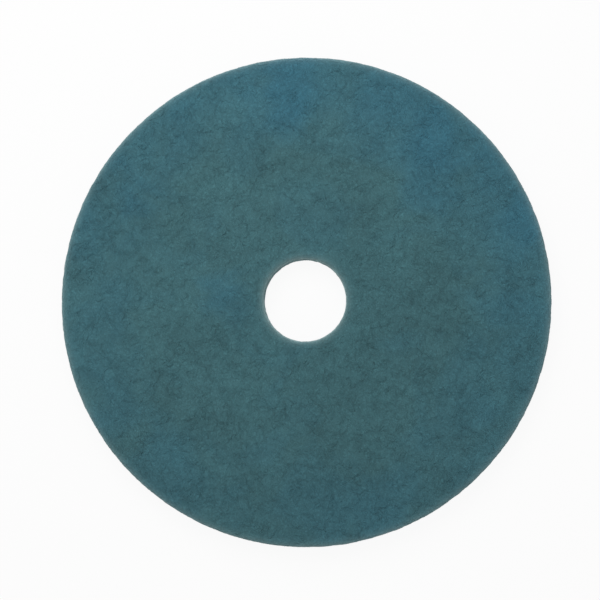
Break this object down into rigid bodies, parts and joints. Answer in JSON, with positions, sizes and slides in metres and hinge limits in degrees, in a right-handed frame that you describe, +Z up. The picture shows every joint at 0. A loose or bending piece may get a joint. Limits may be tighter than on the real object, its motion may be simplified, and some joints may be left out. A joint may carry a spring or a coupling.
{
  "type": "floor polishing pad",
  "caption": "Round nonwoven fibre pad with a centre hole, fitted under a rotary floor machine to polish and burnish hard floors.",
  "frame": {"origin": "on the pad's axis, at the face that lies on the floor", "axes": "+Z up along the pad's axis, from the floor face to the driver face; X and Y lie in the plane of the pad and are alike"},
  "size_m": [0.508, 0.508, 0.025],
  "materials": {
    "web": "matte"
  },
  "bodies": {
    "root": {"fibre_pad": "web"}
  },
  "joints": []
}
